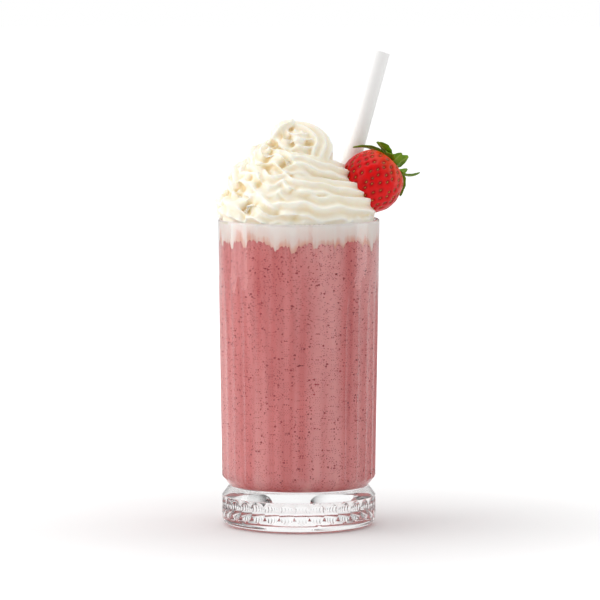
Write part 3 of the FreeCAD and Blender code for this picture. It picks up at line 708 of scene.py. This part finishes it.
def cream_core():
    """Fills the middle under the rope: a plug inside the rim and a cone above it."""
    columns = 96
    angle = 2 * np.pi * np.arange(columns) / columns
    outline = np.array([(30.0, -6.0), (32.3, -1.5), (32.2, 0.4), (29.0, 6.0), (18.0, 20.0), (6.0, 32.0), (1.0, 36.0)])
    rows = []
    for r, z in outline:
        rows.append(np.stack([r * np.cos(angle), r * np.sin(angle), np.full(columns, RIM_HEIGHT + z)], axis=-1))
    points = np.concatenate(rows + [[[0, 0, RIM_HEIGHT - 6.0], [0, 0, RIM_HEIGHT + 36.2]]])
    faces = ring_faces(len(rows), columns).tolist()
    low, high = len(points) - 2, len(points) - 1
    last = (len(rows) - 1) * columns
    for column in range(columns):
        after = (column + 1) % columns
        faces.append((low, after, column))
        faces.append((high, last + column, last + after))
    return points, faces


def neighbour_average(mesh, values, rounds, keep=0.5):
    """Values averaged over each vertex's neighbours, some times over."""
    edges = np.empty(len(mesh.edges) * 2, np.int32)
    mesh.edges.foreach_get("vertices", edges)
    a, b = edges.reshape(-1, 2).T
    count = np.bincount(a, minlength=len(values)) + np.bincount(b, minlength=len(values))
    for _ in range(rounds):
        total = np.zeros_like(values)
        for axis in range(values.shape[1]):
            total[:, axis] = np.bincount(a, values[b, axis], len(values)) + np.bincount(b, values[a, axis], len(values))
        values = keep * values + (1 - keep) * total / np.maximum(count, 1)[:, None]
    return values


def soften(mesh, rounds):
    co = neighbour_average(mesh, vertex_array(mesh), rounds)
    mesh.vertices.foreach_set("co", co.astype(np.float32).ravel())
    mesh.update()


def store_hollow_shade(mesh):
    """Stores how deep each point lies in a hollow, for the cream's painted shade: 0 on a ridge, 1 deep between folds.
    """
    co = vertex_array(mesh)
    normals = normal_array(mesh)
    near = neighbour_average(mesh, co, 12)
    far = neighbour_average(mesh, near, 50)
    near_depth = np.sum((near - co) * normals, axis=1) / MM
    far_depth = np.sum((far - co) * normals, axis=1) / MM
    value = 0.34 + 0.8 * near_depth + 0.5 * far_depth
    store_float(mesh, "hollow_shade", np.clip(value, 0, 1))


def build_cream_plug(material):
    """The cream inside the glass, from the drip line up to the rim, pressed against the wall."""
    angle = 2 * np.pi * np.arange(COLUMNS) / COLUMNS
    bottom = drip_line(angle) - 0.4
    top = np.full(COLUMNS, RIM_HEIGHT - 0.9)
    rows = []
    for share in np.linspace(0, 1, 14):
        z = bottom + (top - bottom) * share
        r = cavity_radius(z) - 0.03 * (1 - share)
        rows.append(np.stack([r * np.cos(angle), r * np.sin(angle), z], axis=-1))
    for out, up in ((-0.4, 0.35), (-1.2, 0.3), (-5.0, -0.6)):
        r = cavity_radius(top) + out
        rows.append(np.stack([r * np.cos(angle), r * np.sin(angle), top + up], axis=-1))
    points = np.concatenate(rows)
    faces = ring_faces(len(rows), COLUMNS)
    piece = make_piece("cream_in_glass", points, faces, material)
    around = np.arctan2(points[:, 1], points[:, 0])
    above = (points[:, 2] - drip_line(around)) / 9.0
    store_float(piece.data, "above_drink", np.clip(above, 0, 1))
    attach(piece, "root")


# ---------------------------------------------------------------- strawberry


def berry_matrix():
    """From the berry's own frame, with its cap end's middle at the origin and +Z out of it, to the row's."""
    lean = Matrix.Rotation(math.pi / 2 - BERRY_RISE, 4, Vector((-math.sin(BERRY_HEADING), math.cos(BERRY_HEADING), 0)))
    return Matrix.Translation(Vector(BERRY_CAP)) @ lean


def place(points, matrix):
    matrix = np.array(matrix)
    return np.asarray(points) @ matrix[:3, :3].T + matrix[:3, 3]


def berry_profile():
    corners = (
        (0.0, -BERRY_LENGTH, 0),
        (3.6, -BERRY_LENGTH, 3.2),
        (BERRY_RADIUS, (0.62 - 1) * BERRY_LENGTH, 13.0),
        (BERRY_RADIUS * 0.72, 0.0, 7.0),
        (0.0, 0.0, 0),
    )
    return resample(rounded_outline(corners, 26), 0.3)


def seed_places(profile, count=190):
    """Places of the seeds on the profile, spread like a plant spreads them: (share of the outline, angle)."""
    length = np.concatenate([[0], np.cumsum(np.linalg.norm(np.diff(profile, axis=0), axis=1))])
    area = np.concatenate([[0], np.cumsum(0.5 * (profile[1:, 0] + profile[:-1, 0]) * np.diff(length))])
    area /= area[-1]
    golden = math.pi * (3 - math.sqrt(5))
    places = []
    for number in range(count):
        share = 0.02 + 0.86 * (number + 0.5) / count
        along = np.interp(share, area, length)
        r = np.interp(along, length, profile[:, 0])
        z = np.interp(along, length, profile[:, 1])
        ahead = [np.interp(along + 0.3, length, profile[:, axis]) for axis in (0, 1)]
        slope = np.array([ahead[0] - r, ahead[1] - z])
        places.append((r, z, slope / np.linalg.norm(slope), number * golden + rng.normal(0, 0.05)))
    return places


def build_berry(skin, seeds):
    profile = berry_profile()
    columns = 300
    angle = 2 * np.pi * np.arange(columns) / columns
    rows = [np.stack([r * np.cos(angle), r * np.sin(angle), np.full(columns, z)], axis=-1) for r, z in profile[1:-1]]
    points = np.concatenate(rows + [[[0, 0, profile[0, 1]], [0, 0, profile[-1, 1]]]])
    to_cap = 1 + points[:, 2] / BERRY_LENGTH
    points[:, 2] -= 2.2 * np.exp(-(points[:, 0] ** 2 + points[:, 1] ** 2) / 16.0) * (points[:, 2] > -6)
    pit_shade = np.zeros(len(points))
    seed_points, seed_faces = [], []
    for r, z, slope, turn in seed_places(profile):
        centre = np.array([r * math.cos(turn), r * math.sin(turn), z])
        across = np.array([-math.sin(turn), math.cos(turn), 0])
        along = np.array([slope[0] * math.cos(turn), slope[0] * math.sin(turn), slope[1]])
        out = np.cross(across, along)
        out *= np.sign(out @ np.array([math.cos(turn), math.sin(turn), 0.2]))
        offset = points - centre
        distance = np.sqrt((offset @ across / 0.85) ** 2 + (offset @ along / 1.15) ** 2 + (offset @ out) ** 2)
        depth = np.exp(-((distance / 0.95) ** 2))
        points = points - (0.55 * depth)[:, None] * out
        pit_shade = np.maximum(pit_shade, depth)
        add_seed(seed_points, seed_faces, centre - 0.42 * out, across, along, out)
    faces = ring_faces(len(rows), columns).tolist()
    low, high = len(points) - 2, len(points) - 1
    last = (len(rows) - 1) * columns
    for column in range(columns):
        after = (column + 1) % columns
        faces.append((low, after, column))
        faces.append((high, last + column, last + after))
    matrix = berry_matrix()
    piece = make_piece("strawberry_fruit", place(points, matrix), faces, skin)
    # the pits' depth, kept for the painted shade in the skin's colour
    store_float(piece.data, "pit_shade", pit_shade)
    store_float(piece.data, "to_cap", to_cap)
    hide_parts("strawberry")
    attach(piece, "root")
    piece = make_piece("strawberry_seeds", place(seed_points, matrix), seed_faces, seeds)
    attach(piece, "root")


def add_seed(points, faces, centre, across, along, out):
    """One drop-shaped seed, 7 rings of 8 points."""
    start, rings, corners = len(points), 7, 8
    for ring in range(rings):
        polar = math.pi * (ring + 0.5) / rings
        width = 0.27 * math.sin(polar) * (1 + 0.25 * math.cos(polar))
        for corner in range(corners):
            turn = 2 * math.pi * corner / corners
            points.append(
                centre
                + across * width * math.cos(turn)
                + out * 0.8 * width * math.sin(turn)
                + along * 0.5 * math.cos(polar)
            )
    for ring in range(rings - 1):
        for corner in range(corners):
            a = start + ring * corners + corner
            b = start + ring * corners + (corner + 1) % corners
            faces.append((a, a + corners, b + corners, b))
    faces.append(tuple(start + k for k in range(corners)))
    faces.append(tuple(start + (rings - 1) * corners + corners - 1 - k for k in range(corners)))


# Leaves of the strawberry's cap, as in the part's source: direction, reach, rise of the tip, width share.
LEAVES = (
    (0, 16.2, -2.8, 0.85),
    (16, 11.0, 8.4, 0.80),
    (52, 12.5, -0.5, 1.05),
    (92, 13.0, 1.5, 1.15),
    (132, 16.8, -4.8, 0.60),
    (158, 11.0, 2.6, 0.90),
    (182, 12.4, 1.2, 1.15),
    (208, 9.0, 0.4, 0.80),
    (240, 5.4, 6.2, 0.80),
    (285, 4.4, 8.4, 1.20),
    (330, 12.0, 8.4, 0.65),
)
LEAF_WIDTH = 6.6
LEAF_THICKNESS = 0.5


def leaf_grid(direction, reach, rise, share, number):
    """Points of one leaf's middle surface and, for each, how near it is to the midrib."""
    root, tip = np.array([1.2, 0, 0.55]), np.array([reach, 0, rise])
    arch = np.array([reach * 0.6, 0, LEAF_THICKNESS + 0.22 * reach])
    if rise > 0.4 * reach:
        arch = np.array([reach * 0.9, 0, LEAF_THICKNESS])
    along_count, across_count = 26, 13
    points, vein = [], []
    for i in range(along_count):
        u = i / (along_count - 1)
        middle = root * (1 - u) ** 2 + arch * 2 * u * (1 - u) + tip * u**2
        along = (arch - root) * (1 - u) + (tip - arch) * u
        along /= np.linalg.norm(along)
        out = np.array([-along[2], 0, along[0]])
        half = LEAF_WIDTH * share * (0.06 + 0.44 * math.sin(math.pi * min(1.0, 0.1 + 0.9 * u)) ** 0.8)
        half *= 1 + 0.06 * math.sin(9 * math.pi * u + number)
        for j in range(across_count):
            v = 2 * j / (across_count - 1) - 1
            cup = 0.32 * half * abs(v) ** 1.3 + 0.12 * half * math.sin(7 * u + 2.2 * v + number)
            points.append(middle + np.array([0, half * v, 0]) + out * cup)
            side = abs(math.sin(9 * math.pi * (u - 0.25 * abs(v))))
            vein.append(max(0.75 * math.exp(-((v / 0.13) ** 2)), 0.22 * (1 - side) ** 3))
    turn = math.radians(direction + LEAF_TURN)
    spin = np.array([[math.cos(turn), -math.sin(turn), 0], [math.sin(turn), math.cos(turn), 0], [0, 0, 1]])
    faces = []
    for i in range(along_count - 1):
        for j in range(across_count - 1):
            a = i * across_count + j
            faces.append((a, a + 1, a + across_count + 1, a + across_count))
    return np.array(points) @ spin.T, faces, vein


def build_leaves(material):
    points, faces, vein = [], [], []
    for number, leaf in enumerate(LEAVES):
        leaf_points, leaf_faces, leaf_vein = leaf_grid(*leaf, number)
        start = len(points)
        points.extend(leaf_points.tolist())
        faces.extend([tuple(i + start for i in face) for face in leaf_faces])
        vein.extend(leaf_vein)
    piece = make_piece("strawberry_cap", place(points, berry_matrix()), faces, material)
    store_float(piece.data, "vein", vein)
    thick = piece.modifiers.new("thickness", "SOLIDIFY")
    thick.thickness = 0.45 * MM
    thick.offset = 0.0
    fine = piece.modifiers.new("fine", "SUBSURF")
    fine.levels = 1
    shown_mesh(piece).shade_smooth()
    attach(piece, "root")
    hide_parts("strawberry_leaves")
    build_stem(material)


def build_stem(material):
    """The disc that the leaves grow from and the stub of the stem."""
    corners = ((0, 0.1, 0), (4.0, 0.1, 0.2), (4.2, 0.7, 0.3), (1.7, 1.1, 0.8), (1.15, 3.6, 0.3), (0, 4.0, 0))
    outline = rounded_outline(corners, 5)
    columns = 32
    angle = 2 * np.pi * np.arange(columns) / columns
    rows = [np.stack([r * np.cos(angle), r * np.sin(angle), np.full(columns, z)], axis=-1) for r, z in outline[1:-1]]
    points = np.concatenate(rows + [[[0, 0, outline[0, 1]], [0, 0, outline[-1, 1]]]])
    faces = ring_faces(len(rows), columns).tolist()
    low, high = len(points) - 2, len(points) - 1
    last = (len(rows) - 1) * columns
    for column in range(columns):
        after = (column + 1) % columns
        faces.append((low, after, column))
        faces.append((high, last + column, last + after))
    piece = make_piece("strawberry_stem", place(points, berry_matrix()), faces, material)
    store_float(piece.data, "vein", np.clip(points[:, 2] / 4.0, 0, 1) * 0.6)
    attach(piece, "root")


# ---------------------------------------------------------------- glass and straw


def dress_node(node, material):
    """Puts a material on a CAD node that stays in view."""
    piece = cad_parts[node]
    piece.data.materials.clear()
    piece.data.materials.append(material)
    return piece


# ---------------------------------------------------------------- stage


def build_stage():
    floor_mesh = bpy.data.meshes.new("floor")
    size = 6.0
    floor_mesh.from_pydata([(-size, -size, 0), (size, -size, 0), (size, size, 0), (-size, size, 0)], [], [(0, 1, 2, 3)])
    floor = bpy.data.objects.new("floor", floor_mesh)
    bpy.context.scene.collection.objects.link(floor)
    made = Material("floor", Roughness=0.9)
    made.shader.inputs["Specular IOR Level"].default_value = 0.1
    tone = made.noise(made.coordinates(), 0.8)
    made.colour(made.ramp(tone, ((0.3, (0.87, 0.87, 0.87)), (0.7, (0.88, 0.88, 0.88)))))
    path = made.node("ShaderNodeLightPath")
    made.shader.inputs["Emission Color"].default_value = (1, 1, 1, 1)
    through = made.math("MULTIPLY", path.outputs["Is Transmission Ray"], 0.1)
    seen = made.math("MAXIMUM", path.outputs["Is Camera Ray"], through)
    straight = made.math("LESS_THAN", path.outputs["Diffuse Depth"], 0.5)
    away = made.node("ShaderNodeVectorMath", {"0": made.coordinates()}, operation="LENGTH")
    reach = made.node("ShaderNodeMapRange", {"Value": away.outputs["Value"]}, interpolation_type="SMOOTHSTEP")
    for key, value in zip(("From Min", "From Max", "To Min", "To Max"), (*LIFT_REACH, *FLOOR_LIFT)):
        reach.inputs[key].default_value = value
    lift = made.math("MULTIPLY", made.math("MULTIPLY", seen, straight), reach)
    made.link(lift, made.shader, "Emission Strength")
    floor_mesh.materials.append(made.material)


FLOOR_LIFT = (0.0, 0.42)  # near the glass, where the shadow lies, and far from it
LIFT_REACH = (0.04, 0.32)  # metres from the glass's middle over which it grows
WORLD_LIGHT = 0.74  # light of the studio on what stands free
INSIDE_LIGHT = 1.42  # the same light on what stands behind glass, which lamps don't reach
LIGHT_SLOPE = 0.30  # how much more light comes from -X than from +X


def build_world():
    """A white studio, lighter to the left. Its sides are dark through the glass and bright in reflections."""
    world = bpy.data.worlds.new("studio")
    bpy.context.scene.world = world
    world.use_nodes = True
    tree = world.node_tree
    background = tree.nodes["Background"]
    background.inputs["Color"].default_value = (1, 1, 1, 1)

    def calc(operation, *values):
        node = tree.nodes.new("ShaderNodeMath")
        node.operation = operation
        for socket, value in zip(node.inputs, values):
            if isinstance(value, (int, float)):
                socket.default_value = value
            else:
                tree.links.new(value, socket)
        return node.outputs[0]

    def choose(share, low, high):
        """low where share is 0, high where it is 1."""
        return calc("ADD", calc("MULTIPLY", calc("SUBTRACT", 1.0, share), low), calc("MULTIPLY", share, high))

    path = tree.nodes.new("ShaderNodeLightPath").outputs
    axes = tree.nodes.new("ShaderNodeSeparateXYZ")
    tree.links.new(tree.nodes.new("ShaderNodeTexCoord").outputs["Generated"], axes.inputs[0])
    sideways = axes.outputs["X"]
    slope = calc("SUBTRACT", 1.0, calc("MULTIPLY", sideways, LIGHT_SLOPE))
    side = tree.nodes.new("ShaderNodeMapRange")
    side.interpolation_type = "SMOOTHSTEP"
    for key, value in (("From Min", 0.24), ("From Max", 0.74), ("To Min", 1.0), ("To Max", 0.1)):
        side.inputs[key].default_value = value
    tree.links.new(calc("ABSOLUTE", sideways), side.inputs["Value"])
    light = calc("MULTIPLY", slope, choose(path["Is Transmission Ray"], WORLD_LIGHT, INSIDE_LIGHT))
    reflected = calc("MULTIPLY", slope, calc("SUBTRACT", 1.2, side.outputs[0]))
    seen = choose(path["Is Transmission Ray"], reflected, side.outputs[0])
    seen = choose(path["Is Camera Ray"], seen, 1.0)
    lighting = calc("GREATER_THAN", path["Diffuse Depth"], 0.5)
    tree.links.new(choose(lighting, seen, light), background.inputs["Strength"])


def area_lamp(name, place_m, target_m, size_m, power, colour=(1, 1, 1)):
    light = bpy.data.lights.new(name, "AREA")
    light.shape = "RECTANGLE"
    light.size, light.size_y = size_m
    light.energy = power
    light.color = colour
    lamp = bpy.data.objects.new(name, light)
    lamp.location = place_m
    lamp.rotation_euler = (Vector(target_m) - Vector(place_m)).to_track_quat("-Z", "Y").to_euler()
    bpy.context.scene.collection.objects.link(lamp)
    return lamp


def build_lights():
    area_lamp("key_left", (-0.75, -0.35, 0.55), (0, 0, 0.11), (0.6, 0.8), 1.2)
    area_lamp("strip_left", (-0.95, 0.1, 0.25), (0, 0, 0.1), (0.6, 1.0), 2.9)
    area_lamp("strip_right", (0.95, 0.2, 0.25), (0, 0, 0.1), (0.4, 1.0), 1.6)
    area_lamp("top", (0.0, 0.1, 1.1), (0, 0, 0.1), (0.8, 0.8), 2.6)


def build_camera():
    data = bpy.data.cameras.new("camera")
    data.sensor_width = 36.0
    data.lens = 284.6
    camera = bpy.data.objects.new("camera", data)
    camera.location = (0.0005, -2.05, 0.290)
    target = Vector((0.0005, 0, 0.0981))
    camera.rotation_euler = (target - camera.location).to_track_quat("-Z", "Y").to_euler()
    bpy.context.scene.collection.objects.link(camera)
    bpy.context.scene.camera = camera


# ---------------------------------------------------------------- whole scene

dress_node("glass", glass_material())
dress_node("straw", straw_material())
build_drink(milkshake_material())
build_specks(speck_material())
build_cream(cream_material())
build_cream_plug(cream_wall_material())
build_berry(berry_material(), seed_material())
build_leaves(leaf_material())
build_stage()
build_world()
build_lights()
build_camera()
bpy.context.scene.view_settings.view_transform = "Standard"
